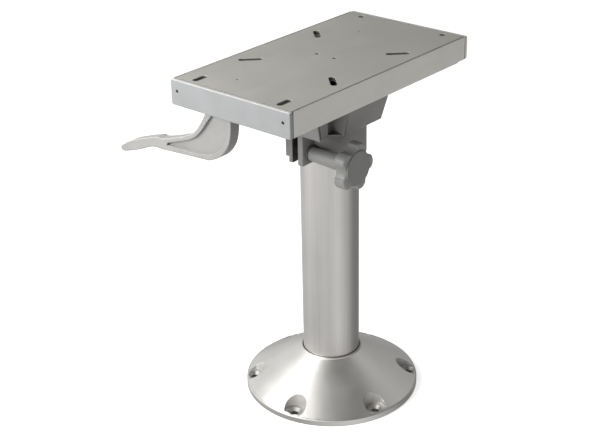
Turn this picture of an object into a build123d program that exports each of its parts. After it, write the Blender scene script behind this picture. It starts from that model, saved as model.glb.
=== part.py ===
from build123d import *
import math
import os

os.makedirs("parts", exist_ok=True)

# Boat seat pedestal: a cast base, a round column, a swivelling head with a
# clamp knob, and a sliding seat plate with a latch lever.
# Frame: origin on the column axis at the floor, +Z up, +X along the slide
# towards the rear end of the plate, -X towards its front end, +Y to the side
# that the latch lever reaches out to.  Millimetres.

# ---------------------------------------------------------------- dimensions
# base
base_r = 113.0
base_rim_h = 7.0
base_rim_round = 1.7
base_cone_top_r = 39.5
base_cone_top_z = 53.0
base_h = 54.8
base_wall = 7.05          # measured straight down, 6 mm square to the cone
base_hub_r = 43.0
base_ledge_r = 32.0
base_ledge_z = 8.0
base_bolt_r = 102.5
base_bolt_n = 6
base_bolt_a0 = 12.0
base_hole_r = 4.0
base_csk_r = 8.25
base_pocket_z = 9.5
base_pocket_r = 13.0
base_hollow_r = 86.0

# column
tube_r = 36.5
tube_wall = 3.2
tube_z0 = base_ledge_z
tube_z1 = 384.0

# swivel joint
plug_flange_r = 36.1
plug_flange_t = 3.0
plug_depth = 20.0
king_r = 6.0
king_z1 = 416.0
hub_z0 = 332.0
hub_r = 45.7
hub_floor_z0 = 389.5
hub_floor_z1 = 397.5
hub_bore_r = 38.65
bush_r_out = 38.6
bush_r_in = 36.55

# head casting
body_z0 = 372.0
body_z1 = 428.0
body_bevel = 1.3
cavity_z0 = 378.0
ear_x0 = -64.3
ear_x1 = -36.0

# clamp
clamp_x = -49.5
clamp_z = 345.3
clamp_r = 5.0
knob_y0 = -14.1
knob_disc_y0 = -68.4
knob_disc_y1 = -83.4
knob_tip_r = 30.0
knob_face_r = 21.6
knob_valley_r = 22.6
knob_lobes = 5

# slide
rail_z0 = 428.0
rail_t = 5.0
rail_x0 = -88.0
rail_x1 = 84.0
rail_y = 82.0
latch_pitch = 16.0
slide_travel = 48.0

# seat plate
plate_cx = -6.8
plate_l = 334.6
plate_w = 179.8
pattern_cx = -7.3
plate_z0 = 422.5
plate_z1 = 452.5
web_z = 447.5
cap_t = 5.8
cap_side = 0.2
cap_drop = 0.9
ext_x0 = plate_cx - plate_l / 2 + cap_t
ext_x1 = plate_cx + plate_l / 2 - cap_t
plate_y = plate_w / 2
port_y = 79.9
groove_y = 88.1
groove_w = 1.6
groove_d = 1.3
relief_x = 13.0
relief_z = 1.1
port_z = 439.4

# latch lever
shaft_y = 34.0
shaft_z = 440.3
shaft_r = 4.0
lever_x0 = -157.0
lever_x1 = -142.0
lever_recess = 2.6
lever_recess_front = 4.2
lever_round = 1.2


def hexagon(af):
    # circumscribed radius of a hexagon from its width across flats
    return af / math.sqrt(3.0)


# ================================================================ column body
# ---- base flange: turned cone on a broad flat rim, hollow underneath in the
# middle, with a socket for the column, six ribs and six drafted pockets
cone_slope = (base_cone_top_z - (base_rim_h + base_rim_round)) / (
    (base_r - base_rim_round) - base_cone_top_r)


def cone_z(r):
    # height of the outer cone over a radius
    return base_cone_top_z - (r - base_cone_top_r) * cone_slope


with BuildPart() as base_pocket_tool:
    # drafted pockets over the bolt holes
    with BuildSketch(Plane.XY.offset(base_pocket_z)):
        with PolarLocations(base_bolt_r, base_bolt_n, start_angle=base_bolt_a0):
            Circle(base_pocket_r)
    extrude(amount=40.0, taper=-14.0)

with BuildPart() as base_outer:
    # solid of the whole outer shape, used to trim the ribs
    with BuildSketch(Plane.XZ):
        with BuildLine():
            Polyline((0, 0), (base_r, 0), (base_r, base_rim_h))
            RadiusArc((base_r, base_rim_h), (base_r - base_rim_round, base_rim_h + base_rim_round), -base_rim_round)
            Polyline((base_r - base_rim_round, base_rim_h + base_rim_round),
                     (base_cone_top_r, base_cone_top_z), (39.3, 54.2), (38.7, base_h),
                     (0, base_h), (0, 0))
        make_face()
    revolve(axis=Axis.Z)

with BuildPart() as base_web:
    # six ribs from the socket to the rim, up to the outer shape
    with BuildSketch(Plane.XY.offset(1.5)):
        with PolarLocations((base_hub_r + base_hollow_r) / 2, base_bolt_n, start_angle=base_bolt_a0 + 30.0):
            Rectangle(base_hollow_r - base_hub_r + 4.0, 4.0)
    extrude(amount=base_h)
    add(base_outer.part, mode=Mode.INTERSECT)

with BuildPart() as base_flange:
    with BuildSketch(Plane.XZ):
        with BuildLine():
            Polyline((base_ledge_r, 0), (base_hub_r, 0),
                     (base_hub_r, cone_z(base_hub_r) - base_wall),
                     (base_hollow_r, cone_z(base_hollow_r) - base_wall), (base_hollow_r, 0),
                     (base_r, 0), (base_r, base_rim_h))
            RadiusArc((base_r, base_rim_h), (base_r - base_rim_round, base_rim_h + base_rim_round), -base_rim_round)
            Polyline((base_r - base_rim_round, base_rim_h + base_rim_round),
                     (base_cone_top_r, base_cone_top_z), (39.3, 54.2), (38.7, base_h),
                     (37.5, base_h), (37.0, 53.6), (36.55, 51.8), (36.55, base_ledge_z),
                     (base_ledge_r, base_ledge_z), (base_ledge_r, 0))
        make_face()
    revolve(axis=Axis.Z)
    add(base_web.part)
    add(base_pocket_tool.part, mode=Mode.SUBTRACT)
    # bolt holes with countersinks at the pocket floors
    with Locations(Plane.XY.offset(base_pocket_z)):
        with PolarLocations(base_bolt_r, base_bolt_n, start_angle=base_bolt_a0):
            CounterSinkHole(radius=base_hole_r, counter_sink_radius=base_csk_r,
                            counter_sink_angle=90, depth=base_pocket_z + 1)
    # soft edge at the rim's foot
    chamfer(base_flange.edges().filter_by(GeomType.CIRCLE).filter_by(
        lambda e: abs(e.radius - base_r) < 0.01 and abs(e.center().Z) < 0.01), length=0.6)

# ---- column tube
with BuildPart() as column_tube:
    with BuildSketch(Plane.XY.offset(tube_z0)):
        Circle(tube_r)
        Circle(tube_r - tube_wall, mode=Mode.SUBTRACT)
    extrude(amount=tube_z1 - tube_z0)
    chamfer(column_tube.edges().group_by(Axis.Z)[-1], length=0.4)

# ---- plug in the top of the column, with a hexagonal pocket for the king bolt
with BuildPart() as tube_top_plug:
    with BuildSketch(Plane.XY.offset(tube_z1 - plug_depth)):
        Circle(tube_r - tube_wall - 0.05)
    extrude(amount=plug_depth)
    with BuildSketch(Plane.XY.offset(tube_z1)):
        Circle(plug_flange_r)
    extrude(amount=plug_flange_t)
    chamfer(tube_top_plug.edges().group_by(Axis.Z)[0], length=1.0)
    with BuildSketch(Plane.XY.offset(tube_z1 - plug_depth)):
        RegularPolygon(hexagon(18.3), 6)
    extrude(amount=8.0, mode=Mode.SUBTRACT)
    with BuildSketch(Plane.XY.offset(tube_z1 - plug_depth)):
        Circle(king_r + 0.1)
    extrude(amount=plug_depth + plug_flange_t, mode=Mode.SUBTRACT)

# ---- king bolt: hexagonal head in the plug, shank up through the head's floor
with BuildPart() as king_bolt:
    with BuildSketch(Plane.XY.offset(364.5)):
        RegularPolygon(hexagon(18.0), 6)
    extrude(amount=7.5)
    with BuildSketch(Plane.XY.offset(372.0)):
        Circle(king_r)
    extrude(amount=king_z1 - 372.0)
    chamfer(king_bolt.faces().sort_by(Axis.Z)[-1].edges(), length=1.0)

# ---- thrust washer over the head's floor
with BuildPart() as thrust_washer:
    with BuildSketch(Plane.XY.offset(hub_floor_z1 + 0.05)):
        Circle(16.0)
        Circle(king_r + 0.3, mode=Mode.SUBTRACT)
    extrude(amount=2.45)

# ---- steel washer under the nut
with BuildPart() as king_washer:
    with BuildSketch(Plane.XY.offset(400.0)):
        Circle(14.0)
        Circle(king_r + 0.2, mode=Mode.SUBTRACT)
    extrude(amount=2.5)
    chamfer(king_washer.edges().filter_by(GeomType.CIRCLE).sort_by(SortBy.RADIUS)[-2:], length=0.4)

# ---- king nut, domed hexagon
with BuildPart() as king_nut:
    with BuildSketch(Plane.XY.offset(402.5)):
        RegularPolygon(hexagon(19.0), 6)
    extrude(amount=10.0)
    with BuildSketch(Plane.XZ):
        with BuildLine():
            Polyline((0, 402.5), (10.2, 402.5), (11.2, 403.1), (11.2, 411.7), (9.6, 412.5), (0, 412.5), (0, 402.5))
        make_face()
    revolve(axis=Axis.Z, mode=Mode.INTERSECT)
    with BuildSketch(Plane.XY.offset(402.5)):
        Circle(king_r + 0.04)
    extrude(amount=10.0, mode=Mode.SUBTRACT)

# ================================================================ swivel head
# ---- hollow of the casting: two crossed tapered boxes, left solid round the
# hub, round the four screw bosses and along four ribs
screw_x = (-66.0, 42.0)
screw_y = 30.0
screw_pts = [(screw_x[0], screw_y), (screw_x[0], -screw_y),
             (screw_x[1], screw_y), (screw_x[1], -screw_y)]


def head_outline(z, inset=0.0):
    # plan of the casting at height z, right-hand side first: front body with a
    # groove behind its corner, a deep pocket, a side wing, the rear body
    t = (z - body_z0) / (body_z1 - body_z0)
    xf = -67.0 - 18.5 * t + inset
    yb = 41.5 + 6.5 * t - inset
    xp = -52.6 - 7.6 * t
    xw = -35.5 - 6.5 * t + inset
    yw = 51.7 + 14.3 * t - inset
    xr = 48.0 + 9.0 * t - inset
    half = [(xf, yb), (xf + 1.4, yb), (xf + 1.9, yb - 1.6), (xf + 3.9, yb - 1.6), (xf + 4.4, yb),
            (xp, yb), (xp, 34.5), (xw, 34.5), (xw, yw),
            (xw + 0.9, yw), (xw + 1.3, yw - 1.0), (xw + 2.7, yw - 1.0), (xw + 3.1, yw),
            (-xw, yw), (-xw, yb), (xr, yb)]
    return half + [(x, -y) for x, y in reversed(half)]


with BuildPart() as head_cavity:
    # middle and front, wing to wing, and the wider rear part
    with BuildSketch(Plane.XY.offset(cavity_z0)):
        with Locations((-10.0, 0)):
            RectangleRounded(108.0, 59.0, 6.0)
    with BuildSketch(Plane.XY.offset(body_z1)):
        with Locations((-14.25, 0)):
            RectangleRounded(132.5, 59.0, 7.0)
    loft()
    with BuildSketch(Plane.XY.offset(cavity_z0)):
        RectangleRounded(62.4, 96.5, 9.0)
    with BuildSketch(Plane.XY.offset(body_z1)):
        RectangleRounded(74.0, 122.0, 9.0)
    loft()
    with BuildSketch(Plane.XY.offset(cavity_z0)):
        with Locations((22.0, 0)):
            RectangleRounded(44.0, 74.4, 6.0)
    with BuildSketch(Plane.XY.offset(body_z1)):
        with Locations((26.0, 0)):
            RectangleRounded(52.0, 86.0, 7.0)
    loft()
    # hub stays
    with BuildSketch(Plane.XY.offset(cavity_z0 - 1)):
        Circle(hub_r)
    extrude(amount=hub_floor_z1 - cavity_z0 + 1, mode=Mode.SUBTRACT)
    # screw bosses stay
    with BuildSketch(Plane.XY.offset(cavity_z0 - 1)):
        with Locations(*screw_pts):
            Circle(8.0)
    extrude(amount=body_z1 - cavity_z0 + 2, mode=Mode.SUBTRACT)
    # four ribs from the hub to the walls
    with BuildSketch(Plane.XY.offset(cavity_z0 - 1)):
        with Locations((-60.0, 0), (45.0, 0)):
            Rectangle(44.0, 4.5)
        with Locations((0, 54.0), (0, -54.0)):
            Rectangle(4.5, 24.0)
    extrude(amount=414.0 - cavity_z0 + 1, mode=Mode.SUBTRACT)

with BuildPart() as swivel_head:
    # flaring body with a small bevel round its foot
    for z, inset in ((body_z0, body_bevel), (body_z0 + body_bevel, 0.0), (body_z1, 0.0)):
        with BuildSketch(Plane.XY.offset(z)):
            with BuildLine():
                Polyline(*head_outline(z, inset), close=True)
            make_face()
    loft(ruled=True)
    add(head_cavity.part, mode=Mode.SUBTRACT)
    # thin webs across the foot of the two pockets
    for side in (1, -1):
        with BuildSketch(Plane.XY.offset(body_z0)):
            with BuildLine():
                Polyline((-34.4, side * 50.9), (-46.2, side * 36.0), (-53.5, side * 33.5), (-34.4, side * 33.5), close=True)
            make_face()
        extrude(amount=2.0)
    # hub round the column
    with BuildSketch(Plane.XY.offset(hub_z0)):
        Circle(hub_r)
    extrude(amount=hub_floor_z1 - hub_z0)
    # clamp ears on the front of the hub
    with BuildSketch(Plane.XY.offset(334.0)):
        with Locations(((ear_x0 + ear_x1) / 2, 7.0)):
            Rectangle(ear_x1 - ear_x0, 6.0)
    extrude(amount=body_z0 - 334.0)
    with BuildSketch(Plane.XY.offset(341.0)):
        with Locations(((ear_x0 + ear_x1) / 2, 12.5)):
            Rectangle(ear_x1 - ear_x0, 5.0)
    extrude(amount=body_z0 - 341.0)
    with BuildSketch(Plane.XY.offset(333.0)):
        with Locations(((ear_x0 + ear_x1) / 2, -8.0)):
            Rectangle(ear_x1 - ear_x0, 8.0)
    extrude(amount=body_z0 - 333.0)
    # soft outer corners on the ears
    fillet(swivel_head.edges().filter_by(Axis.Z).filter_by(
        lambda e: abs(e.center().X - ear_x0) < 0.01 and e.center().Z < body_z0), radius=1.2)
    # bore for the bushing and hole for the king bolt
    with BuildSketch(Plane.XY.offset(hub_z0)):
        Circle(hub_bore_r)
    extrude(amount=hub_floor_z0 - hub_z0, mode=Mode.SUBTRACT)
    with BuildSketch(Plane.XY.offset(hub_floor_z0 - 1)):
        Circle(king_r + 0.4)
    extrude(amount=hub_floor_z1 - hub_floor_z0 + 2, mode=Mode.SUBTRACT)
    # split between the ears, running up into the body behind its front wall
    with BuildSketch(Plane.XY.offset(hub_z0 - 2)):
        with Locations((-49.0, 0)):
            Rectangle(36.0, 8.0)
    extrude(amount=body_z0 - hub_z0 + 2, mode=Mode.SUBTRACT)
    with BuildSketch(Plane.XY.offset(body_z0)):
        with Locations((-46.75, 0)):
            Rectangle(33.5, 8.0)
    extrude(amount=16.0, mode=Mode.SUBTRACT)
    # clamp bolt hole, hexagonal pocket for its head, relief for the knob's neck
    with BuildSketch(Plane.XZ.offset(-30.0)):
        with Locations((clamp_x, clamp_z)):
            Circle(clamp_r + 0.2)
    extrude(amount=60.0, mode=Mode.SUBTRACT)
    with BuildSketch(Plane.XZ.offset(-10.0)):
        with Locations((clamp_x, clamp_z)):
            RegularPolygon(hexagon(16.2), 6)
    extrude(amount=-14.0, mode=Mode.SUBTRACT)
    with BuildSketch(Plane.XZ.offset(12.0)):
        with Locations((clamp_x, clamp_z)):
            Circle(10.6)
    extrude(amount=30.0, mode=Mode.SUBTRACT)
    # tapped holes for the rail screws
    with BuildSketch(Plane.XY.offset(body_z1)):
        with Locations(*screw_pts):
            Circle(3.05)
    extrude(amount=-14.5, mode=Mode.SUBTRACT)

# ---- split bushing between the head and the column
with BuildPart() as swivel_bushing:
    with BuildSketch(Plane.XY.offset(333.0)):
        Circle(bush_r_out)
        Circle(bush_r_in, mode=Mode.SUBTRACT)
    extrude(amount=hub_floor_z0 - 333.0)
    with BuildSketch(Plane.XY.offset(387.05)):
        Circle(bush_r_out)
        Circle(18.0, mode=Mode.SUBTRACT)
    extrude(amount=hub_floor_z0 - 387.05)
    with BuildSketch(Plane.XY.offset(333.0)):
        with Locations((-37.5, 0)):
            Rectangle(6.0, 3.0)
    extrude(amount=52.0, mode=Mode.SUBTRACT)

# ---- clamp bolt along Y, its head in the left ear
with BuildPart() as clamp_bolt:
    with BuildSketch(Plane.XZ.offset(-16.4)):
        with Locations((clamp_x, clamp_z)):
            RegularPolygon(hexagon(16.0), 6)
    extrude(amount=6.4)
    with BuildSketch(Plane.XZ.offset(-10.0)):
        with Locations((clamp_x, clamp_z)):
            Circle(clamp_r)
    extrude(amount=72.0)
    chamfer(clamp_bolt.faces().sort_by(Axis.Y)[0].edges(), length=0.9)

# ---- clamp washer on the right ear
with BuildPart() as clamp_washer:
    with BuildSketch(Plane.XZ.offset(12.0)):
        with Locations((clamp_x, clamp_z)):
            Circle(10.2)
            Circle(clamp_r + 0.3, mode=Mode.SUBTRACT)
    extrude(amount=2.0)

# ---- slide rail: flat steel plate with a stop slot and a row of latch slots
with BuildPart() as slide_rail:
    with BuildSketch(Plane.XY.offset(rail_z0)):
        with Locations(((rail_x0 + rail_x1) / 2, 0)):
            RectangleRounded(rail_x1 - rail_x0, 2 * rail_y, 3.0)
        # slot that the stop block travels in
        with Locations((-4.9, 0)):
            RectangleRounded(112.4, 12.6, 1.2, mode=Mode.SUBTRACT)
        # latch slots, one pitch apart
        with Locations(*[(k * latch_pitch, 66.65) for k in range(-4, 5)]):
            RectangleRounded(8.4, 9.7, 1.0, mode=Mode.SUBTRACT)
    extrude(amount=rail_t)
    with Locations(Plane.XY.offset(rail_z0 + rail_t)):
        with Locations(*screw_pts):
            CounterSinkHole(radius=3.2, counter_sink_radius=6.3, counter_sink_angle=90, depth=rail_t + 1)

# ---- four countersunk screws that hold the rail on the head
with BuildPart() as rail_screws:
    for px, py in screw_pts:
        with BuildSketch(Plane(origin=(px, py, 0), x_dir=(1, 0, 0), z_dir=(0, -1, 0))):
            with BuildLine():
                Polyline((0, 416.0), (2.4, 416.0), (3.0, 416.8), (3.0, 429.8), (6.0, 432.8), (0, 432.8), (0, 416.0))
            make_face()
        revolve(axis=Axis((px, py, 0), (0, 0, 1)))
    with BuildSketch(Plane.XY.offset(432.8)):
        with Locations(*screw_pts):
            RegularPolygon(hexagon(4.0), 6)
    extrude(amount=-2.4, mode=Mode.SUBTRACT)


# ---- plastic glides on the rail's two long edges
def glide_profile(side):
    # closed C profile, open towards the middle of the plate
    return [(side * 75.0, 426.05), (side * 85.15, 426.05), (side * 85.15, 434.95),
            (side * 75.0, 434.95), (side * 75.0, 433.0), (side * 82.0, 433.0),
            (side * 82.0, 428.0), (side * 75.0, 428.0), (side * 75.0, 426.05)]


with BuildPart() as left_glide:
    with BuildSketch(Plane.YZ.offset(rail_x0 + 0.5)):
        with BuildLine():
            Polyline(*glide_profile(1))
        make_face()
    extrude(amount=rail_x1 - rail_x0 - 1.0)

with BuildPart() as right_glide:
    with BuildSketch(Plane.YZ.offset(rail_x0 + 0.5)):
        with BuildLine():
            Polyline(*glide_profile(-1))
        make_face()
    extrude(amount=rail_x1 - rail_x0 - 1.0)

# ================================================================ clamp knob
# ---- five-lobed knob on a long tapered neck
lobe_c = knob_tip_r - 11.5
valley_c = knob_valley_r + 12.5
lobe_pts = [(clamp_x + lobe_c * math.cos(math.radians(72 * k)),
             clamp_z + lobe_c * math.sin(math.radians(72 * k))) for k in range(knob_lobes)]
valley_pts = [(clamp_x + valley_c * math.cos(math.radians(36 + 72 * k)),
               clamp_z + valley_c * math.sin(math.radians(36 + 72 * k))) for k in range(knob_lobes)]
with BuildPart() as clamp_knob:
    # lobed disc
    with BuildSketch(Plane.XZ.offset(-knob_disc_y0)) as star:
        with Locations((clamp_x, clamp_z)):
            Circle(knob_valley_r + 1.4)
        with Locations(*lobe_pts):
            Circle(11.5)
        with Locations(*valley_pts):
            Circle(12.5, mode=Mode.SUBTRACT)
        fillet(star.vertices(), radius=2.0)
    extrude(amount=knob_disc_y0 - knob_disc_y1)
    fillet(clamp_knob.faces().filter_by(Axis.Y).sort_by(Axis.Y)[0].edges(), radius=2.4)
    fillet(clamp_knob.faces().filter_by(Axis.Y).sort_by(Axis.Y)[-1].edges(), radius=1.8)
    # raised round disc in the middle of the front
    with BuildSketch(Plane.XZ.offset(-knob_disc_y1 - 2.5)):
        with Locations((clamp_x, clamp_z)):
            Circle(knob_face_r)
    extrude(amount=3.9, taper=8.0)
    # neck, a turned taper that flares into the disc
    with BuildSketch(Plane(origin=(clamp_x, 0, clamp_z), x_dir=(0, -1, 0), z_dir=(1, 0, 0))):
        with BuildLine():
            Polyline((-knob_y0, 0), (-knob_y0, 8.2), (-knob_y0 + 0.6, 8.6),
                     (60.4, 10.2), (65.4, 11.8), (68.4, 15.0), (72.4, 15.0), (72.4, 0), (-knob_y0, 0))
        make_face()
    revolve(axis=Axis((clamp_x, 0, clamp_z), (0, 1, 0)))
    # pocket for the insert and clearance for the bolt's end
    with BuildSketch(Plane.XZ.offset(-knob_y0 - 1)):
        with Locations((clamp_x, clamp_z)):
            Circle(7.0)
    extrude(amount=25.0, mode=Mode.SUBTRACT)
    with BuildSketch(Plane.XZ.offset(-knob_y0 - 1)):
        with Locations((clamp_x, clamp_z)):
            Circle(5.5)
    extrude(amount=52.0, mode=Mode.SUBTRACT)

# ---- threaded brass insert in the knob's neck
with BuildPart() as knob_insert:
    with BuildSketch(Plane.XZ.offset(-knob_y0)):
        with Locations((clamp_x, clamp_z)):
            Circle(6.97)
            Circle(clamp_r + 0.06, mode=Mode.SUBTRACT)
    extrude(amount=23.0)

# ================================================================ seat plate
# ---- extruded plate: flat web, deep sides with lips that hook round the rail
diag_slots = [(61.0, 62.5), (-61.0, 62.5), (-61.0, -62.5), (61.0, -62.5)]
near_slots = [(-145.3, 63.5), (-145.3, -63.5)]
far_holes = [(152.3, 63.5), (152.3, -63.5)]
stop_x = -4.9
stop_screw_y = 13.2
pin_f = (-129.0, 27.5)
pin_r = (94.6, 28.0)

half_section = [(0, web_z), (74.5, web_z), (74.5, 435.0), (85.25, 435.0), (85.25, 426.0),
                (72.0, 426.0), (72.0, plate_z0), (plate_y, plate_z0), (plate_y, plate_z1),
               (groove_y + groove_w / 2, plate_z1), (groove_y + groove_w / 2, plate_z1 - groove_d),
               (groove_y - groove_w / 2, plate_z1 - groove_d), (groove_y - groove_w / 2, plate_z1), (0, plate_z1), (0, web_z)]

with BuildPart() as top_plate:
    with BuildSketch(Plane.YZ.offset(ext_x0)) as plate_section:
        with BuildLine():
            Polyline(*half_section)
        make_face()
        mirror(about=Plane.YZ)
        fillet(plate_section.vertices().filter_by(
            lambda v: abs(v.Z - plate_z1) < 0.01 and abs(abs(v.Y) - plate_y) < 0.01), radius=0.7)
        fillet(plate_section.vertices().filter_by(
            lambda v: abs(v.Z - plate_z0) < 0.01 and abs(abs(v.Y) - plate_y) < 0.01), radius=0.8)
        fillet(plate_section.vertices().filter_by(
            lambda v: abs(v.Z - web_z) < 0.01 and abs(abs(v.Y) - 74.5) < 0.01), radius=1.5)
        with Locations((port_y, port_z), (-port_y, port_z)):
            Circle(1.6, mode=Mode.SUBTRACT)
    extrude(amount=ext_x1 - ext_x0)
    # the foot of the sides is relieved near the rear end
    with BuildSketch(Plane.XY.offset(plate_z0 - 1)):
        with Locations((ext_x1 - relief_x / 2 + 1, 0)):
            Rectangle(relief_x + 2, plate_w + 2)
    extrude(amount=relief_z + 1, mode=Mode.SUBTRACT)
    # diagonal slots that point at the middle of the plate
    for sx, sy in diag_slots:
        with BuildSketch(Plane.XY.offset(web_z - 1)):
            with Locations(Location((pattern_cx + sx, sy, 0), (0, 0, math.degrees(math.atan2(sy, sx))))):
                SlotOverall(29.0, 8.0)
        extrude(amount=8.0, mode=Mode.SUBTRACT)
    # front pair of slots and rear pair of round holes
    with BuildSketch(Plane.XY.offset(web_z - 1)):
        with Locations(*[(pattern_cx + sx, sy) for sx, sy in near_slots]):
            SlotOverall(21.0, 8.0)
        with Locations(*[(pattern_cx + sx, sy) for sx, sy in far_holes]):
            Circle(4.0)
    extrude(amount=8.0, mode=Mode.SUBTRACT)
    # stop block screws in counterbores
    with Locations(Plane.XY.offset(plate_z1)):
        with Locations((stop_x, stop_screw_y), (stop_x, -stop_screw_y)):
            CounterBoreHole(radius=1.7, counter_bore_radius=2.5, counter_bore_depth=3.0, depth=8.0)
    # pins of the shaft bearings
    with BuildSketch(Plane.XY.offset(web_z - 1)):
        with Locations(pin_f, pin_r):
            Circle(1.5)
    extrude(amount=8.0, mode=Mode.SUBTRACT)


# ---- end caps: flat covers with two lugs inside the channel
def end_cap(x_out, x_in, lug_to, z_foot, z_neck):
    # x_out is the outer face, x_in the face on the extrusion
    seam = math.copysign(0.9, x_out - x_in)
    with BuildPart() as cap:
        # narrow neck that leaves a seam against the extrusion
        with BuildSketch(Plane.YZ.offset(x_in)):
            with Locations((0, (z_neck + plate_z1) / 2)):
                RectangleRounded(plate_w - 2.0, plate_z1 - z_neck - 2.0, 2.0)
        extrude(amount=seam)
        with BuildSketch(Plane.YZ.offset(x_in + seam)):
            with Locations((0, (z_foot + plate_z1) / 2)):
                RectangleRounded(plate_w + 2 * cap_side, plate_z1 - z_foot, 2.4)
        extrude(amount=x_out - x_in - seam)
        outer = cap.faces().filter_by(Axis.X)
        outer = outer.sort_by(Axis.X)[0] if x_out < x_in else outer.sort_by(Axis.X)[-1]
        fillet(outer.edges(), radius=1.3)
        with BuildSketch(Plane.YZ.offset(x_in)):
            with Locations((60.0, 444.4), (-60.0, 444.4)):
                RectangleRounded(24.0, 6.0, 1.0)
        extrude(amount=lug_to - x_in)
        # screw holes with recesses for the heads
        with BuildSketch(Plane.YZ.offset(x_in)):
            with Locations((port_y, port_z), (-port_y, port_z)):
                Circle(1.7)
        extrude(amount=x_out - x_in, mode=Mode.SUBTRACT)
        with BuildSketch(Plane.YZ.offset(x_out)):
            with Locations((port_y, port_z), (-port_y, port_z)):
                Circle(2.0)
        extrude(amount=math.copysign(2.25, x_in - x_out), mode=Mode.SUBTRACT)
    return cap


front_end_cap = end_cap(ext_x0 - cap_t, ext_x0, ext_x0 + 4.0, plate_z0 - cap_drop, plate_z0)
rear_end_cap = end_cap(ext_x1 + cap_t, ext_x1, ext_x1 - 4.0, plate_z0 + 0.3, plate_z0 + relief_z)

# ---- four cap screws
with BuildPart() as end_cap_screws:
    for x_out, s in ((ext_x0 - cap_t, 1), (ext_x1 + cap_t, -1)):
        for py in (port_y, -port_y):
            with BuildSketch(Plane(origin=(0, py, port_z), x_dir=(1, 0, 0), z_dir=(0, -1, 0))):
                with BuildLine():
                    Polyline((x_out + s * 0.45, 0), (x_out + s * 0.45, 1.3), (x_out + s * 0.85, 1.85),
                             (x_out + s * 2.25, 1.85), (x_out + s * 2.25, 1.5), (x_out + s * 15.0, 1.5),
                             (x_out + s * 16.0, 0.8), (x_out + s * 16.0, 0), (x_out + s * 0.45, 0))
                make_face()
            revolve(axis=Axis((0, py, port_z), (1, 0, 0)))

# ---- stop block under the web, its foot in the rail's slot
with BuildPart() as stop_block:
    with BuildSketch(Plane.XY.offset(427.2)):
        with Locations((stop_x, 0)):
            RectangleRounded(16.0, 12.0, 1.0)
    extrude(amount=433.4 - 427.2)
    with BuildSketch(Plane.XY.offset(433.4)):
        with Locations((stop_x, 0)):
            RectangleRounded(16.0, 34.0, 1.0)
    extrude(amount=web_z - 433.4)
    with BuildSketch(Plane.XY.offset(web_z)):
        with Locations((stop_x, stop_screw_y), (stop_x, -stop_screw_y)):
            Circle(1.55)
    extrude(amount=-12.0, mode=Mode.SUBTRACT)

# ---- two screws that hold the stop block, sunk in the web
with BuildPart() as stop_block_screws:
    for py in (stop_screw_y, -stop_screw_y):
        with BuildSketch(Plane(origin=(stop_x, py, 0), x_dir=(1, 0, 0), z_dir=(0, -1, 0))):
            with BuildLine():
                Polyline((0, 436.2), (1.5, 436.2), (1.5, 449.5), (2.4, 449.5), (2.4, 451.0), (1.9, 451.6), (0, 451.6), (0, 436.2))
            make_face()
        revolve(axis=Axis((stop_x, py, 0), (0, 0, 1)))
    with BuildSketch(Plane.XY.offset(451.6)):
        with Locations((stop_x, stop_screw_y), (stop_x, -stop_screw_y)):
            RegularPolygon(hexagon(1.9), 6)
    extrude(amount=-1.1, mode=Mode.SUBTRACT)


# ---- bearings for the latch shaft
def bearing(x0, x1, pin):
    with BuildPart() as blk:
        with BuildSketch(Plane.YZ.offset(x0)) as s:
            with Locations((31.25, 441.75)):
                Rectangle(18.5, 11.5)
            fillet(s.vertices().filter_by(lambda v: v.Z < 437.0), radius=3.0)
            with Locations((shaft_y, shaft_z)):
                Circle(shaft_r + 0.05, mode=Mode.SUBTRACT)
        extrude(amount=x1 - x0)
        with BuildSketch(Plane.XY.offset(web_z)):
            with Locations(pin):
                Circle(1.5)
        extrude(amount=-9.0, mode=Mode.SUBTRACT)
    return blk


front_bearing = bearing(-134.0, -124.0, pin_f)
rear_bearing = bearing(89.6, 99.6, pin_r)

with BuildPart() as bearing_pins:
    with BuildSketch(Plane.XY.offset(438.6)):
        with Locations(pin_f, pin_r):
            Circle(1.5)
    extrude(amount=452.1 - 438.6)

# ---- return spring between the web and the latch pawl
spring_y = 60.0
spring_z0 = 437.6
spring_mean_r = 3.2
spring_wire_r = 0.45
with BuildPart() as return_spring:
    with BuildLine() as spring_path:
        Helix(pitch=2.2, height=web_z - spring_z0 - 2 * spring_wire_r - 0.1, radius=spring_mean_r,
              center=(0, spring_y, spring_z0 + spring_wire_r + 0.05))
    with BuildSketch(Plane(origin=spring_path.line @ 0, z_dir=spring_path.line % 0)):
        Circle(spring_wire_r)
    sweep(is_frenet=True)

# ================================================================ latch lever
# ---- lever: upright root under the plate, long arm outwards, thumb pad at the
# end; a rim stands all round a thin web
root_side = [(14.3, 413.2), (14.9, 400.5), (16.2, 391.7), (19.3, 382.2), (26.8, 371.0), (36.6, 362.4), (44.1, 358.4), (52.9, 354.9)]
arm_under = [(66.1, 354.0), (82.8, 352.7), (99.6, 351.4), (116.6, 350.1), (133.7, 348.8), (149.9, 347.3)]
pad_under = [(158.6, 344.0), (168.2, 339.8), (180.7, 335.1), (190.7, 331.9), (197.7, 329.6)]
pad_tip = [(202.6, 329.8), (205.2, 333.0), (203.6, 336.0), (199.9, 338.4)]
pad_top = [(192.8, 343.1), (180.8, 348.8), (167.4, 353.8), (149.6, 359.8), (140.2, 362.8), (137.0, 363.5)]
arm_top = [(132.8, 362.5), (123.3, 364.8), (105.9, 370.5), (94.6, 374.4), (83.5, 379.5), (76.6, 383.6), (70.8, 388.9), (63.9, 397.9), (58.2, 406.7), (53.4, 414.1)]
root_top = [(46.5, 427.0), (40.3, 439.0), (27.7, 438.0), (18.8, 424.0)]

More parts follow.
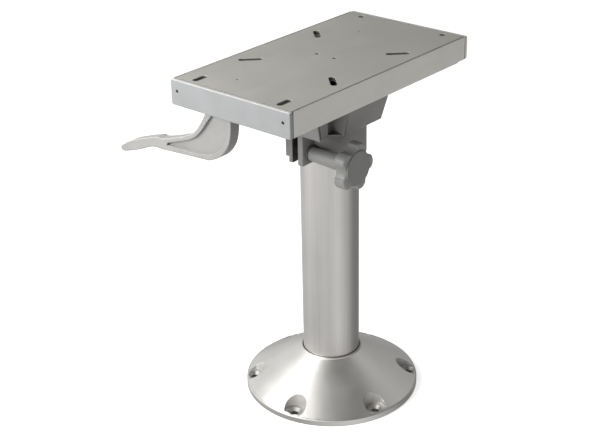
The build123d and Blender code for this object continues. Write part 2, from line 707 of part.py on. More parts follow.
with BuildPart() as lever:
    with BuildSketch(Plane.YZ.offset(lever_x0)):
        with BuildLine():
            Spline(*root_side)
            Spline(root_side[-1], *arm_under[:2])
            Polyline(arm_under[1], arm_under[4])
            Spline(arm_under[4], arm_under[5], *pad_under)
            Polyline(pad_under[-1], pad_tip[0])
            Spline(*pad_tip)
            Spline(pad_tip[-1], *pad_top[:-1])
            Polyline(pad_top[-2], pad_top[-1], arm_top[0])
            Spline(*arm_top[:4])
            Spline(*arm_top[3:])
            Polyline(arm_top[-1], *root_top, root_side[0])
        make_face()
    extrude(amount=lever_x1 - lever_x0)
    # soft edges all round, on both faces
    fillet(lever.edges().filter_by(lambda e: e.bounding_box().size.X < 0.001 and
                                   max((e @ 0).Z, (e @ 1).Z) < 415.0), radius=lever_round)
    # hub round the shaft
    with BuildSketch(Plane.YZ.offset(lever_x0)):
        with Locations((shaft_y, shaft_z)):
            Circle(6.9)
    extrude(amount=-134.3 - lever_x0)
    # pockets on both faces leave a rim and a web
    for x_face, s, deep in ((lever_x0, 1, lever_recess_front), (lever_x1, -1, lever_recess)):
        with BuildSketch(Plane.YZ.offset(x_face)) as pocket:
            with BuildLine():
                Spline((45.3, 412.2), (54.2, 400.6), (62.7, 389.7), (69.8, 382.3), (79.1, 376.0), (95.0, 369.3), (108.8, 364.4), (120.5, 360.3))
                Polyline((120.5, 360.3), (121.5, 356.9))
                Spline((121.5, 356.9), (98.4, 357.6), (85.0, 358.0), (71.9, 358.6), (63.1, 359.6), (54.2, 361.2), (45.5, 364.6), (38.0, 369.4), (30.4, 376.5), (24.6, 385.0), (20.6, 395.0), (18.9, 411.0))
                Polyline((18.9, 411.0), (21.6, 420.0), (36.0, 424.0), (45.3, 412.2))
            make_face()
        extrude(amount=s * deep, mode=Mode.SUBTRACT)
    # bore for the shaft with a flat
    with BuildSketch(Plane.YZ.offset(lever_x0)):
        with Locations((shaft_y, shaft_z)):
            Circle(shaft_r + 0.03)
        with Locations((shaft_y, shaft_z + 4.3)):
            Rectangle(12.0, 2.0, mode=Mode.SUBTRACT)
    extrude(amount=-134.3 - lever_x0, mode=Mode.SUBTRACT)

# ---- latch shaft: flat at the front end, tapped for the lever screw, groove
# for the clip at the rear end
with BuildPart() as lever_shaft:
    with BuildSketch(Plane.YZ.offset(-156.0)):
        with Locations((shaft_y, shaft_z)):
            Circle(shaft_r)
    extrude(amount=260.0)
    with BuildSketch(Plane.YZ.offset(-156.5)):
        with Locations((shaft_y, shaft_z + 4.25)):
            Rectangle(12.0, 2.0)
    extrude(amount=22.5, mode=Mode.SUBTRACT)
    with BuildSketch(Plane.YZ.offset(-156.5)):
        with Locations((shaft_y, shaft_z)):
            Circle(2.05)
    extrude(amount=12.5, mode=Mode.SUBTRACT)
    with BuildSketch(Plane.YZ.offset(100.2)):
        with Locations((shaft_y, shaft_z)):
            Circle(shaft_r + 1)
            Circle(3.1, mode=Mode.SUBTRACT)
    extrude(amount=1.3, mode=Mode.SUBTRACT)
    # hole for the pawl's pin
    with BuildSketch(Plane.XY.offset(shaft_z - 5)):
        with Locations((-12.0, shaft_y)):
            Circle(1.5)
    extrude(amount=10.0, mode=Mode.SUBTRACT)

# ---- screw that holds the lever on the shaft
with BuildPart() as lever_screw:
    with BuildSketch(Plane.YZ.offset(-160.0)):
        with Locations((shaft_y, shaft_z)):
            Circle(6.0)
    extrude(amount=3.0)
    chamfer(lever_screw.faces().sort_by(Axis.X)[0].edges(), length=0.8)
    with BuildSketch(Plane.YZ.offset(-157.0)):
        with Locations((shaft_y, shaft_z)):
            Circle(2.0)
    extrude(amount=11.0)
    with BuildSketch(Plane.YZ.offset(-160.0)):
        with Locations((shaft_y, shaft_z)):
            RegularPolygon(hexagon(3.0), 6)
    extrude(amount=1.8, mode=Mode.SUBTRACT)

# ---- spring clip on the shaft's rear end
with BuildPart() as shaft_clip:
    with BuildSketch(Plane.YZ.offset(100.35)):
        with Locations((shaft_y, shaft_z)):
            Circle(6.4)
            Circle(3.15, mode=Mode.SUBTRACT)
        with Locations((shaft_y, shaft_z - 5.0)):
            Rectangle(4.6, 10.0, mode=Mode.SUBTRACT)
    extrude(amount=1.0)

# ---- latch pawl: hub on the shaft, arm to the rail's edge, three teeth
with BuildPart() as latch_pawl:
    with BuildSketch(Plane.YZ.offset(-20.0)):
        with Locations((shaft_y, shaft_z)):
            Circle(6.9)
    extrude(amount=40.0)
    with BuildSketch(Plane.YZ.offset(-20.0)):
        with BuildLine():
            Polyline((34.0, 446.8), (38.5, 445.4), (43.5, 442.0), (50.0, 438.2), (56.0, 437.4), (70.5, 437.0),
                     (70.5, 433.8), (41.0, 433.6), (34.0, 433.6), (34.0, 446.8))
        make_face()
    extrude(amount=40.0)
    with BuildSketch(Plane.XY.offset(428.4)):
        with Locations((-latch_pitch, 65.75), (0, 65.75), (latch_pitch, 65.75)):
            RectangleRounded(7.6, 5.5, 0.8)
    extrude(amount=6.6)
    with BuildSketch(Plane.YZ.offset(-20.5)):
        with Locations((shaft_y, shaft_z)):
            Circle(shaft_r + 0.02)
    extrude(amount=41.0, mode=Mode.SUBTRACT)
    with BuildSketch(Plane.XY.offset(shaft_z - 8)):
        with Locations((-12.0, shaft_y)):
            Circle(1.5)
    extrude(amount=16.0, mode=Mode.SUBTRACT)

with BuildPart() as pawl_pin:
    with BuildSketch(Plane.XY.offset(shaft_z - 6.4)):
        with Locations((-12.0, shaft_y)):
            Circle(1.48)
    extrude(amount=12.8)

# ================================================================ files
base_flange.part.label = "base_flange"
export_step(base_flange.part, "parts/base_flange.step")
column_tube.part.label = "column_tube"
export_step(column_tube.part, "parts/column_tube.step")
tube_top_plug.part.label = "tube_top_plug"
export_step(tube_top_plug.part, "parts/tube_top_plug.step")
king_bolt.part.label = "king_bolt"
export_step(king_bolt.part, "parts/king_bolt.step")
thrust_washer.part.label = "thrust_washer"
export_step(thrust_washer.part, "parts/thrust_washer.step")
king_washer.part.label = "king_washer"
export_step(king_washer.part, "parts/king_washer.step")
king_nut.part.label = "king_nut"
export_step(king_nut.part, "parts/king_nut.step")

swivel_head.part.label = "swivel_head"
export_step(swivel_head.part, "parts/swivel_head.step")
swivel_bushing.part.label = "swivel_bushing"
export_step(swivel_bushing.part, "parts/swivel_bushing.step")
clamp_bolt.part.label = "clamp_bolt"
export_step(clamp_bolt.part, "parts/clamp_bolt.step")
clamp_washer.part.label = "clamp_washer"
export_step(clamp_washer.part, "parts/clamp_washer.step")
slide_rail.part.label = "slide_rail"
export_step(slide_rail.part, "parts/slide_rail.step")
rail_screws.part.label = "rail_screws"
export_step(rail_screws.part, "parts/rail_screws.step")
left_glide.part.label = "left_glide"
export_step(left_glide.part, "parts/left_glide.step")
right_glide.part.label = "right_glide"
export_step(right_glide.part, "parts/right_glide.step")

clamp_knob.part.label = "clamp_knob"
export_step(clamp_knob.part, "parts/clamp_knob.step")
knob_insert.part.label = "knob_insert"
export_step(knob_insert.part, "parts/knob_insert.step")

top_plate.part.label = "top_plate"
export_step(top_plate.part, "parts/top_plate.step")
front_end_cap.part.label = "front_end_cap"
export_step(front_end_cap.part, "parts/front_end_cap.step")
rear_end_cap.part.label = "rear_end_cap"
export_step(rear_end_cap.part, "parts/rear_end_cap.step")
end_cap_screws.part.label = "end_cap_screws"
export_step(end_cap_screws.part, "parts/end_cap_screws.step")
stop_block.part.label = "stop_block"
export_step(stop_block.part, "parts/stop_block.step")
stop_block_screws.part.label = "stop_block_screws"
export_step(stop_block_screws.part, "parts/stop_block_screws.step")
front_bearing.part.label = "front_bearing"
export_step(front_bearing.part, "parts/front_bearing.step")
rear_bearing.part.label = "rear_bearing"
export_step(rear_bearing.part, "parts/rear_bearing.step")
bearing_pins.part.label = "bearing_pins"
export_step(bearing_pins.part, "parts/bearing_pins.step")
return_spring.part.label = "return_spring"
export_step(return_spring.part, "parts/return_spring.step")

lever.part.label = "lever"
export_step(lever.part, "parts/lever.step")
lever_shaft.part.label = "lever_shaft"
export_step(lever_shaft.part, "parts/lever_shaft.step")
lever_screw.part.label = "lever_screw"
export_step(lever_screw.part, "parts/lever_screw.step")
shaft_clip.part.label = "shaft_clip"
export_step(shaft_clip.part, "parts/shaft_clip.step")
latch_pawl.part.label = "latch_pawl"
export_step(latch_pawl.part, "parts/latch_pawl.step")
pawl_pin.part.label = "pawl_pin"
export_step(pawl_pin.part, "parts/pawl_pin.step")
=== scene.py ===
import bpy, bmesh, math
from mathutils import Matrix, Vector

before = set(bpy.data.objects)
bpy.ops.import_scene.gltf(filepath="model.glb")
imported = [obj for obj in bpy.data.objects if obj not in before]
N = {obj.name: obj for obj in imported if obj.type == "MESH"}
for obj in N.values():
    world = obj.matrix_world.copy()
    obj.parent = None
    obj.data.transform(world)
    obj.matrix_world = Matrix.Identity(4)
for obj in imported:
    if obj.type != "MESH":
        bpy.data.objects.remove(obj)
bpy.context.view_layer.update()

scene = bpy.context.scene


# ------------------------------------------------------------------ materials
class Mat:
    """A principled material with short helpers for its node tree."""

    def __init__(self, name):
        self.m = bpy.data.materials.new(name)
        self.m.use_nodes = True
        self.t = self.m.node_tree
        self.t.nodes.clear()
        self.out = self.new("ShaderNodeOutputMaterial")
        self.b = self.new("ShaderNodeBsdfPrincipled")
        self.link(self.b.outputs[0], self.out.inputs[0])
        self.tc = self.new("ShaderNodeTexCoord")
        self.obj = self.tc.outputs["Object"]

    def new(self, kind):
        return self.t.nodes.new(kind)

    def link(self, a, b):
        self.t.links.new(a, b)

    def set(self, **kw):
        for k, v in kw.items():
            self.b.inputs[k.replace("_", " ")].default_value = v

    def mapping(self, scale, rot=(0, 0, 0), src=None):
        n = self.new("ShaderNodeMapping")
        n.inputs["Scale"].default_value = scale
        n.inputs["Rotation"].default_value = rot
        self.link(src or self.obj, n.inputs["Vector"])
        return n.outputs[0]

    def noise(self, scale, detail=3.0, rough=0.5, vec=None, dim="3D", w=None, dist=0.0):
        n = self.new("ShaderNodeTexNoise")
        n.noise_dimensions = dim
        n.inputs["Scale"].default_value = scale
        n.inputs["Detail"].default_value = detail
        n.inputs["Roughness"].default_value = rough
        n.inputs["Distortion"].default_value = dist
        if dim == "1D":
            self.link(w, n.inputs["W"])
        else:
            self.link(vec or self.obj, n.inputs["Vector"])
        return n.outputs["Fac"]

    def voronoi(self, scale, vec=None, feature="F1"):
        n = self.new("ShaderNodeTexVoronoi")
        n.feature = feature
        n.inputs["Scale"].default_value = scale
        self.link(vec or self.obj, n.inputs["Vector"])
        return n.outputs["Distance"]

    def math(self, op, a, b=None, c=None, clamp=False):
        n = self.new("ShaderNodeMath")
        n.operation = op
        n.use_clamp = clamp
        for i, v in enumerate((a, b, c)):
            if v is None:
                continue
            if isinstance(v, (int, float)):
                n.inputs[i].default_value = v
            else:
                self.link(v, n.inputs[i])
        return n.outputs[0]

    def maprange(self, v, a, b, c, d, smooth=False):
        n = self.new("ShaderNodeMapRange")
        if smooth:
            n.interpolation_type = "SMOOTHSTEP"
        for i, x in zip((1, 2, 3, 4), (a, b, c, d)):
            n.inputs[i].default_value = x
        self.link(v, n.inputs[0])
        return n.outputs[0]

    def mix(self, fac, a, b, blend="MIX"):
        n = self.new("ShaderNodeMix")
        n.data_type = "RGBA"
        n.blend_type = blend
        for i, v in ((0, fac), (6, a), (7, b)):
            if isinstance(v, (int, float)):
                n.inputs[i].default_value = v
            elif isinstance(v, (tuple, list)):
                n.inputs[i].default_value = (*v, 1.0) if len(v) == 3 else v
            else:
                self.link(v, n.inputs[i])
        return n.outputs[2]

    def xyz(self, src=None):
        n = self.new("ShaderNodeSeparateXYZ")
        self.link(src or self.obj, n.inputs[0])
        return n.outputs

    def normal(self):
        n = self.new("ShaderNodeSeparateXYZ")
        self.link(self.tc.outputs["Normal"], n.inputs[0])
        return n.outputs

    def inside(self, v, a, b):
        """1 where a < v < b"""
        return self.math("MULTIPLY", self.math("GREATER_THAN", v, a), self.math("LESS_THAN", v, b))

    def both(self, *masks):
        out = masks[0]
        for m in masks[1:]:
            out = self.math("MULTIPLY", out, m)
        return out

    def edge(self, radius):
        """(mask that is 1 on convex and concave edges, normal rounded over them)"""
        bv = self.new("ShaderNodeBevel")
        bv.samples = 6
        bv.inputs["Radius"].default_value = radius
        g = self.new("ShaderNodeNewGeometry")
        d = self.new("ShaderNodeVectorMath")
        d.operation = "DOT_PRODUCT"
        self.link(bv.outputs[0], d.inputs[0])
        self.link(g.outputs["Normal"], d.inputs[1])
        m = self.maprange(d.outputs["Value"], 0.985, 0.80, 0.0, 1.0, True)
        return m, bv.outputs[0]

    def bump(self, height, strength, distance, normal=None):
        n = self.new("ShaderNodeBump")
        n.inputs["Strength"].default_value = strength
        n.inputs["Distance"].default_value = distance
        self.link(height, n.inputs["Height"])
        if normal is not None:
            self.link(normal, n.inputs["Normal"])
        return n.outputs[0]

    def wire(self, color=None, rough=None, normal=None):
        if color is not None:
            self.link(color, self.b.inputs["Base Color"])
        if rough is not None:
            self.link(rough, self.b.inputs["Roughness"])
        if normal is not None:
            self.link(normal, self.b.inputs["Normal"])
        return self.m


def radius_of(M):
    """distance from the column axis"""
    x, y, z = M.xyz()
    return M.math("SQRT", M.math("ADD", M.math("MULTIPLY", x, x), M.math("MULTIPLY", y, y)))


def turned_base():
    M = Mat("turned_aluminium")
    M.set(Metallic=1.0, Anisotropic=0.55)
    tg = M.new("ShaderNodeTangent")
    tg.direction_type = "RADIAL"
    tg.axis = "Z"
    M.link(tg.outputs[0], M.b.inputs["Tangent"])
    r = radius_of(M)
    rings = M.noise(5200.0, 2.0, 0.6, dim="1D", w=r)
    broad = M.noise(180.0, 2.0, 0.5, dim="1D", w=r)
    blot = M.noise(26.0, 4.0, 0.6)
    grain = M.noise(1500.0, 2.0, 0.6)
    edge_wear_and_highlight, en = M.edge(0.0009)
    col = M.mix(M.maprange(blot, 0.3, 0.7, 0.0, 1.0), (0.606, 0.594, 0.575), (0.676, 0.664, 0.644))
    col = M.mix(M.maprange(rings, 0.35, 0.65, 0.0, 0.25), col, (0.56, 0.555, 0.545))
    # lighter edges: edge wear and a painted highlight along the edges
    col = M.mix(edge_wear_and_highlight, col, (0.80, 0.80, 0.79))
    rg = M.math("ADD", M.maprange(blot, 0.2, 0.8, 0.30, 0.38), M.maprange(rings, 0.3, 0.7, -0.03, 0.05))
    # pockets round the bolt holes: rougher as-cast surface, their colour darkened as painted shade in the recess;
    # the bores painted near black as painted shade
    x, y, z = M.xyz()
    turn = M.math("SUBTRACT", M.math("ARCTAN2", y, x), math.radians(12.0))
    step = math.radians(60.0)
    fold = M.math("SUBTRACT", M.math("FLOORED_MODULO", M.math("ADD", turn, step / 2), step), step / 2)
    u = M.math("SUBTRACT", M.math("MULTIPLY", r, M.math("COSINE", fold)), 0.1025)
    v = M.math("MULTIPLY", r, M.math("SINE", fold))
    d = M.math("SQRT", M.math("ADD", M.math("MULTIPLY", u, u), M.math("MULTIPLY", v, v)))
    sunk = M.both(M.math("LESS_THAN", d, 0.0087), M.math("LESS_THAN", z, 0.0140))
    bore = M.both(M.math("LESS_THAN", d, 0.00465), M.math("LESS_THAN", z, 0.0140))
    col = M.mix(M.math("MULTIPLY", sunk, 0.55), col, (0.34, 0.335, 0.33))
    col = M.mix(bore, col, (0.015, 0.015, 0.015))
    nz = M.normal()[2]
    # the pocket walls are darkened too: painted shade in the recess
    wall = M.both(M.math("LESS_THAN", d, 0.0170), M.math("LESS_THAN", r, 0.1106), M.math("GREATER_THAN", M.math("ABSOLUTE", M.math("SUBTRACT", nz, 0.851)), 0.05))
    col = M.mix(M.math("MULTIPLY", wall, 0.35), col, (0.40, 0.395, 0.385))
    rg = M.math("ADD", rg, M.math("MULTIPLY", M.math("MAXIMUM", sunk, wall), 0.22))
    h = M.math("ADD", M.math("MULTIPLY", rings, 0.6), M.math("ADD", M.math("MULTIPLY", broad, 0.5), M.math("MULTIPLY", grain, 0.25)))
    return M.wire(col, rg, M.bump(h, 0.16, 0.00008, en))


def anodised_tube():
    M = Mat("anodised_tube")
    M.set(Metallic=1.0, Anisotropic=0.25)
    tg = M.new("ShaderNodeTangent")
    tg.direction_type = "RADIAL"
    tg.axis = "Z"
    M.link(tg.outputs[0], M.b.inputs["Tangent"])
    streak = M.noise(1.0, 4.0, 0.6, vec=M.mapping((420.0, 420.0, 5.0)))
    fine = M.noise(1.0, 2.0, 0.5, vec=M.mapping((2600.0, 2600.0, 22.0)))
    blot = M.noise(14.0, 3.0, 0.5)
    edge_wear_and_highlight, en = M.edge(0.0006)
    col = M.mix(M.maprange(streak, 0.3, 0.7, 0.0, 1.0), (0.560, 0.547, 0.534), (0.605, 0.592, 0.578))
    # lighter edges: edge wear and a painted highlight along the edges
    col = M.mix(edge_wear_and_highlight, col, (0.8, 0.8, 0.79))
    rg = M.math("ADD", M.maprange(blot, 0.25, 0.75, 0.36, 0.43), M.maprange(fine, 0.3, 0.7, -0.03, 0.03))
    return M.wire(col, rg, M.bump(M.math("ADD", fine, M.math("MULTIPLY", streak, 0.5)), 0.07, 0.00006, en))


def cast_paint():
    M = Mat("cast_head_paint")
    M.set(Metallic=0.0, Specular_IOR_Level=0.45)
    peel = M.noise(520.0, 2.5, 0.55)
    sand = M.noise(1900.0, 2.0, 0.5)
    blot = M.noise(30.0, 4.0, 0.6)
    edge_wear_and_highlight, en = M.edge(0.0016)
    col = M.mix(M.maprange(blot, 0.3, 0.7, 0.0, 1.0), (0.150, 0.147, 0.143), (0.180, 0.176, 0.171))
    # lighter edges: worn paint and a painted highlight along the edges
    col = M.mix(M.math("MULTIPLY", edge_wear_and_highlight, 0.30), col, (0.27, 0.265, 0.26))
    x, y, z = M.xyz()
    # inside of the clamp split painted near black as painted shade
    split = M.both(M.math("LESS_THAN", M.math("ABSOLUTE", y), 0.0043), M.math("LESS_THAN", x, -0.0300), M.math("LESS_THAN", z, 0.3885))
    col = M.mix(split, col, (0.02, 0.02, 0.019))
    # painted shade: colour darkened towards near black in crevices and under overhangs, read from ambient
    # occlusion
    ao = M.new("ShaderNodeAmbientOcclusion")
    ao.samples = 6
    ao.inputs["Distance"].default_value = 0.016
    col = M.mix(M.maprange(ao.outputs["AO"], 0.62, 0.25, 0.0, 0.85, True), col, (0.035, 0.033, 0.032))
    rg = M.math("ADD", M.maprange(blot, 0.25, 0.75, 0.40, 0.52), M.maprange(sand, 0.3, 0.7, -0.04, 0.05))
    h = M.math("ADD", M.math("MULTIPLY", peel, 1.0), M.math("MULTIPLY", sand, 0.35))
    return M.wire(col, rg, M.bump(h, 0.22, 0.00018, en))


def plate_finish():
    M = Mat("plate_anodised")
    M.set(Metallic=0.25, Specular_IOR_Level=0.5)
    line = M.noise(1.0, 3.0, 0.6, vec=M.mapping((6.0, 1500.0, 1500.0)))
    broad = M.noise(1.0, 2.0, 0.5, vec=M.mapping((1.5, 130.0, 130.0)))
    blot = M.noise(16.0, 4.0, 0.6)
    edge_wear_and_highlight, en = M.edge(0.0007)
    nx, ny, nz = M.normal()
    # the flanks are coloured lighter than the top as a painted reflection of the bright floor below them
    side = M.maprange(M.math("ABSOLUTE", ny), 0.4, 0.8, 0.0, 1.0, True)
    top = M.mix(M.maprange(blot, 0.3, 0.7, 0.0, 1.0), (0.380, 0.373, 0.343), (0.410, 0.403, 0.372))
    flank = M.mix(M.maprange(blot, 0.3, 0.7, 0.0, 1.0), (0.565, 0.548, 0.520), (0.605, 0.590, 0.562))
    col = M.mix(side, top, flank)
    col = M.mix(M.maprange(line, 0.35, 0.65, 0.0, 0.35), col, (0.48, 0.47, 0.44))
    # lighter edges: edge wear and a painted highlight along the edges
    col = M.mix(M.math("MULTIPLY", edge_wear_and_highlight, 0.45), col, (0.70, 0.69, 0.66))
    # walls of the slots and the groove painted dark as painted shade, except the groove on the +Y side, painted
    # light as a painted highlight; the plate's faces looking along X at its front end, in the seam behind the
    # front cap, painted near black as painted shade
    x, y, z = M.xyz()
    cut = M.both(M.inside(z, 0.4477, 0.45205), M.math("LESS_THAN", M.math("ABSOLUTE", y), 0.08895), M.inside(x, -0.1675, 0.1540))
    lit_side = M.math("GREATER_THAN", y, 0.0855)
    col = M.mix(M.both(cut, lit_side), col, (0.62, 0.61, 0.585))
    col = M.mix(M.math("MULTIPLY", M.math("SUBTRACT", cut, M.both(cut, lit_side)), 0.9), col, (0.085, 0.082, 0.076))
    seam = M.both(M.math("GREATER_THAN", M.math("ABSOLUTE", nx), 0.7), M.math("LESS_THAN", x, -0.1540))
    col = M.mix(seam, col, (0.05, 0.048, 0.045))
    rg = M.math("ADD", M.maprange(blot, 0.25, 0.75, 0.42, 0.50), M.maprange(broad, 0.3, 0.7, -0.03, 0.03))
    return M.wire(col, rg, M.bump(M.math("ADD", line, M.math("MULTIPLY", broad, 0.4)), 0.10, 0.00006, en))


def moulded(name, dark, light, rough=(0.42, 0.52), grain=0.16, edge=(0.0009, 0.35, (0.7, 0.7, 0.7)), scale=900.0, seams=(), extra=None):
    M = Mat(name)
    M.set(Metallic=0.0, Specular_IOR_Level=0.5)
    tex = M.voronoi(scale)
    fine = M.noise(scale * 2.2, 2.0, 0.5)
    blot = M.noise(34.0, 4.0, 0.6)
    edge_wear_and_highlight, en = M.edge(edge[0])
    col = M.mix(M.maprange(blot, 0.3, 0.7, 0.0, 1.0), dark, light)
    # lighter edges in the colour given by edge: edge wear and a painted highlight along the edges
    col = M.mix(M.math("MULTIPLY", edge_wear_and_highlight, edge[1]), col, edge[2])
    nx, ny, nz = M.normal()
    # a darker seam line round each cap; on the front cap's sides the seam is painted near black as painted shade
    # of the gap
    for x0, x1 in seams:
        ring = M.inside(M.xyz()[0], x0, x1)
        col = M.mix(ring, col, (0.17, 0.17, 0.165))
        col = M.mix(M.both(ring, M.math("GREATER_THAN", M.math("ABSOLUTE", ny), 0.6), M.math("LESS_THAN", M.xyz()[0], 0.0)), col, (0.03, 0.03, 0.03))
    if extra == "pale_top":
        # the faces that look up are painted lighter as a painted highlight; the rear cap's flanks are coloured
        # lighter
        col = M.mix(M.maprange(nz, 0.45, 0.85, 0.0, 1.0, True), col, (0.46, 0.455, 0.435))
        rear = M.both(M.maprange(M.math("ABSOLUTE", ny), 0.35, 0.75, 0.0, 1.0, True), M.math("GREATER_THAN", M.xyz()[0], 0.1))
        col = M.mix(rear, col, (0.50, 0.488, 0.462))
    if extra == "lit_top_shaded_flank":
        # painted light on the faces that look up; the faces towards -Y are painted darker as painted shade
        col = M.mix(M.maprange(nz, 0.25, 0.8, 0.0, 0.85, True), col, (0.385, 0.384, 0.372))
        col = M.mix(M.maprange(ny, -0.55, -0.85, 0.0, 0.9, True), col, (0.165, 0.162, 0.158))
    if extra == "knob_disc":
        x, y, z = M.xyz()
        u = M.math("ADD", x, 0.0495)
        v = M.math("SUBTRACT", z, 0.3453)
        r = M.math("SQRT", M.math("ADD", M.math("MULTIPLY", u, u), M.math("MULTIPLY", v, v)))
        foot = M.both(M.inside(r, 0.0203, 0.0213), M.math("LESS_THAN", y, -0.0852))
        lobes = M.both(M.math("GREATER_THAN", r, 0.0217), M.math("LESS_THAN", y, -0.0780), M.math("LESS_THAN", ny, -0.5))
        col = M.mix(M.math("MULTIPLY", lobes, 0.6), col, (0.235, 0.240, 0.230))
        # a near-black ring at the foot of the raised disc, heaviest on its right and lower side: painted shade of
        # the groove
        low = M.maprange(M.math("SUBTRACT", M.math("MULTIPLY", u, 0.8), M.math("MULTIPLY", v, 0.6)), 0.0, 0.012, 0.0, 0.75, True)
        col = M.mix(M.math("MULTIPLY", foot, low), col, (0.05, 0.048, 0.045))
    rg = M.math("ADD", M.maprange(blot, 0.25, 0.75, *rough), M.maprange(fine, 0.3, 0.7, -0.04, 0.04))
    h = M.math("ADD", M.math("MULTIPLY", tex, 0.8), M.math("MULTIPLY", fine, 0.4))
    return M.wire(col, rg, M.bump(h, grain, 0.0002, en))


def plated_steel(name, a, b, rough=(0.26, 0.36), grain=0.08):
    M = Mat(name)
    M.set(Metallic=1.0)
    blot = M.noise(90.0, 4.0, 0.6)
    fine = M.noise(1400.0, 2.0, 0.6)
    edge_wear_and_highlight, en = M.edge(0.0004)
    col = M.mix(M.maprange(blot, 0.3, 0.7, 0.0, 1.0), a, b)
    # lighter edges: edge wear and a painted highlight along the edges
    col = M.mix(M.math("MULTIPLY", edge_wear_and_highlight, 0.5), col, (0.75, 0.75, 0.73))
    rg = M.math("ADD", M.maprange(blot, 0.25, 0.75, *rough), M.maprange(fine, 0.3, 0.7, -0.04, 0.05))
    return M.wire(col, rg, M.bump(fine, grain, 0.00005, en))


MATS = {
    "base": turned_base(),
    "tube": anodised_tube(),
    "head": cast_paint(),
    "plate": plate_finish(),
    "cap": moulded("cap_moulding", (0.192, 0.196, 0.199), (0.212, 0.217, 0.221), (0.36, 0.44), 0.10, (0.0007, 0.6, (0.36, 0.36, 0.355)), 900.0, ((-0.16922, -0.16828), (0.15468, 0.15562)), "pale_top"),
    "lever": moulded("lever_moulding", (0.216, 0.215, 0.211), (0.242, 0.241, 0.236), (0.38, 0.46), 0.12, (0.0010, 0.5, (0.36, 0.36, 0.35)), extra="lit_top_shaded_flank"),
    "knob": moulded("knob_moulding", (0.148, 0.149, 0.144), (0.170, 0.171, 0.166), (0.40, 0.50), 0.16, (0.0012, 0.3, (0.27, 0.27, 0.26)), extra="knob_disc"),
    "washer": moulded("dark_washer", (0.070, 0.069, 0.067), (0.090, 0.089, 0.087), (0.40, 0.50), 0.10, (0.0006, 0.3, (0.14, 0.14, 0.14))),
    "black": moulded("black_acetal", (0.018, 0.018, 0.018), (0.028, 0.028, 0.028), (0.34, 0.44), 0.08, (0.0006, 0.3, (0.07, 0.07, 0.07))),
    "steel": plated_steel("zinc_plated_steel", (0.50, 0.49, 0.46), (0.60, 0.59, 0.56)),
    "rail": plated_steel("zinc_plated_plate", (0.40, 0.40, 0.39), (0.48, 0.48, 0.46), (0.32, 0.42), 0.12),
    "screw": plated_steel("black_oxide_steel", (0.03, 0.03, 0.03), (0.05, 0.05, 0.05), (0.38, 0.48)),
    "brass": plated_steel("turned_brass", (0.62, 0.47, 0.20), (0.70, 0.55, 0.26), (0.25, 0.34)),
}
USE = {
    "base_flange": "base", "column_tube": "tube", "tube_top_plug": "tube", "king_bolt": "steel",
    "thrust_washer": "black", "king_washer": "steel", "king_nut": "steel",
    "swivel_head": "head", "swivel_bushing": "black", "clamp_bolt": "steel", "clamp_washer": "washer",
    "slide_rail": "rail", "rail_screws": "screw", "left_glide": "black", "right_glide": "black",
    "clamp_knob": "knob", "knob_insert": "brass",
    "top_plate": "plate", "front_end_cap": "cap", "rear_end_cap": "cap", "end_cap_screws": "screw",
    "stop_block": "black", "stop_block_screws": "screw", "front_bearing": "black", "rear_bearing": "black",
    "bearing_pins": "screw", "return_spring": "steel",
    "lever": "lever", "lever_shaft": "steel", "lever_screw": "screw", "shaft_clip": "screw",
    "latch_pawl": "rail", "pawl_pin": "steel",
}
for node, key in USE.items():
    o = N[node]
    o.data.materials.clear()
    o.data.materials.append(MATS[key])

# ---------------------------------------------------------------------- stage
def stage_floor():
    bm = bmesh.new()
    s = 6.0
    vs = [bm.verts.new(p) for p in ((-s, -s, 0), (s, -s, 0), (s, s, 0), (-s, s, 0))]
    bm.faces.new(vs)
    me = bpy.data.meshes.new("studio_floor")
    bm.to_mesh(me)
    bm.free()
    o = bpy.data.objects.new("studio_floor", me)
    scene.collection.objects.link(o)
    M = Mat("pale_floor")
    M.set(Metallic=0.0, Specular_IOR_Level=0.2)
    n = M.noise(3.0, 3.0, 0.5)
    M.wire(M.mix(n, (0.90, 0.90, 0.90), (0.94, 0.94, 0.94)), M.maprange(n, 0.3, 0.7, 0.7, 0.8))
    M.b.inputs["Emission Color"].default_value = (1.0, 1.0, 1.0, 1.0)
    M.b.inputs["Emission Strength"].default_value = 0.62
    me.materials.append(M.m)
    o.visible_glossy = False
    return o


floor = stage_floor()

# soft patches of the studio's light: azimuth, elevation, half width in degrees, strength
PATCHES = (
    (0, -28, 48, 0.184),
    (45, -28, 48, 0.344),
    (90, -28, 48, 0.392),
    (135, -28, 48, 0.312),
    (180, -28, 48, 0.208),
    (225, -28, 48, 0.596),
    (270, -28, 48, 0.600),
    (315, -28, 48, 0.112),
    (0, 12, 46, 0.080),
    (45, 12, 46, 0.080),
    (90, 12, 46, 0.528),
    (135, 12, 46, 1.643),
    (180, 12, 46, 1.322),
    (225, 12, 46, 0.140),
    (270, 12, 46, 0.200),
    (315, 12, 46, 0.080),
    (15, 50, 44, 0.080),
    (75, 50, 44, 0.270),
    (135, 50, 44, 0.080),
    (195, 50, 44, 0.080),
    (255, 50, 44, 0.080),
    (315, 50, 44, 0.080),
    (0, 88, 34, 0.080),
    (115, 58, 17, 0.080),
    (88, 28, 17, 0.040),
    (72, 12, 17, 0.344),
    (150, 72, 17, 0.336),
    (-24, 46, 17, 0.755),
    (-6, 28, 17, 0.384),
    (8, 10, 17, 0.392),
)


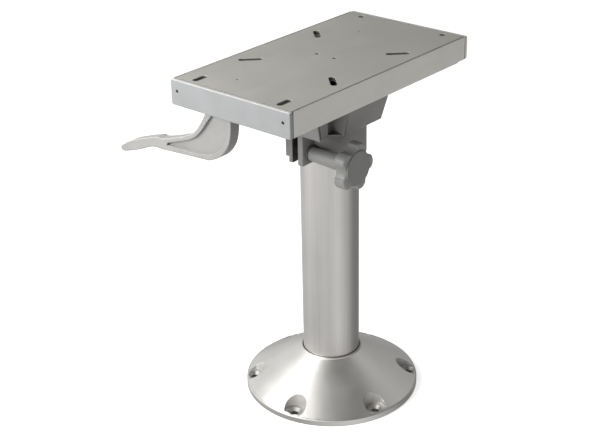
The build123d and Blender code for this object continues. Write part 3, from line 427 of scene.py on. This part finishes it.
def studio_world():
    """white studio: a broad soft light from the front left, dim overhead and to the right"""
    world = bpy.data.worlds.new("studio")
    scene.world = world
    world.use_nodes = True
    t = world.node_tree
    bg = t.nodes["Background"]
    tc = t.nodes.new("ShaderNodeTexCoord")
    total = None
    for az_deg, el_deg, half, strength in PATCHES:
        a, e = math.radians(az_deg), math.radians(el_deg)
        n = t.nodes.new("ShaderNodeVectorMath")
        n.operation = "DOT_PRODUCT"
        n.inputs[1].default_value = (math.cos(e) * math.cos(a), math.cos(e) * math.sin(a), math.sin(e))
        t.links.new(tc.outputs["Generated"], n.inputs[0])
        m = t.nodes.new("ShaderNodeMapRange")
        m.interpolation_type = "SMOOTHSTEP"
        for k, x in zip((1, 2, 3, 4), (math.cos(math.radians(half)), math.cos(math.radians(half * 0.12)), 0.0, strength)):
            m.inputs[k].default_value = x
        t.links.new(n.outputs["Value"], m.inputs[0])
        if total is None:
            total = m.outputs[0]
        else:
            add = t.nodes.new("ShaderNodeMath")
            add.operation = "ADD"
            t.links.new(total, add.inputs[0])
            t.links.new(m.outputs[0], add.inputs[1])
            total = add.outputs[0]
    bg.inputs[0].default_value = (1.0, 0.995, 0.985, 1.0)
    t.links.new(total, bg.inputs[1])


studio_world()

# soft round lamps near the front left: azimuth, elevation, distance from the plate, watts
for k, (az_deg, el_deg, dist, watts) in enumerate(((150, 35, 0.75, 0.80), (120, 35, 0.75, 1.75), (165, 15, 0.80, 4.57), (135, 60, 0.80, 1.05))):
    a, e = math.radians(az_deg), math.radians(el_deg)
    d = Vector((math.cos(e) * math.cos(a), math.cos(e) * math.sin(a), math.sin(e)))
    ld = bpy.data.lights.new("soft_lamp_%d" % (k + 1), "AREA")
    ld.shape = "DISK"
    ld.size = 0.35
    ld.energy = watts
    ld.color = (1.0, 0.995, 0.985)
    lo_ = bpy.data.objects.new(ld.name, ld)
    scene.collection.objects.link(lo_)
    lo_.location = Vector((-0.007, 0.0, 0.452)) + d * dist
    lo_.rotation_euler = d.to_track_quat("Z", "Y").to_euler()
    lo_.visible_camera = False

# --------------------------------------------------------------------- camera
cam_d = bpy.data.cameras.new("camera")
cam = bpy.data.objects.new("camera", cam_d)
scene.collection.objects.link(cam)
az, el, roll = math.radians(-48.99826), math.radians(25.66560), math.radians(-1.19922)
tgt = Vector((-0.0576224, 0.0, 0.2619953))
back = Vector((math.sin(az) * math.cos(el), -math.cos(az) * math.cos(el), math.sin(el)))
pos = tgt + back * 1.5777662
fwd = -back
right = fwd.cross(Vector((0, 0, 1))).normalized()
up = right.cross(fwd)
r2 = right * math.cos(roll) + up * math.sin(roll)
u2 = -right * math.sin(roll) + up * math.cos(roll)
cam.matrix_world = Matrix(((r2.x, u2.x, back.x, pos.x), (r2.y, u2.y, back.y, pos.y), (r2.z, u2.z, back.z, pos.z), (0, 0, 0, 1)))
cam_d.sensor_fit = "HORIZONTAL"
cam_d.sensor_width = 36.0
cam_d.lens = 1292.6065 / 600.0 * 36.0
cam_d.clip_start = 0.05
cam_d.clip_end = 50.0
scene.camera = cam
scene.view_settings.view_transform = "Standard"
scene.view_settings.look = "None"
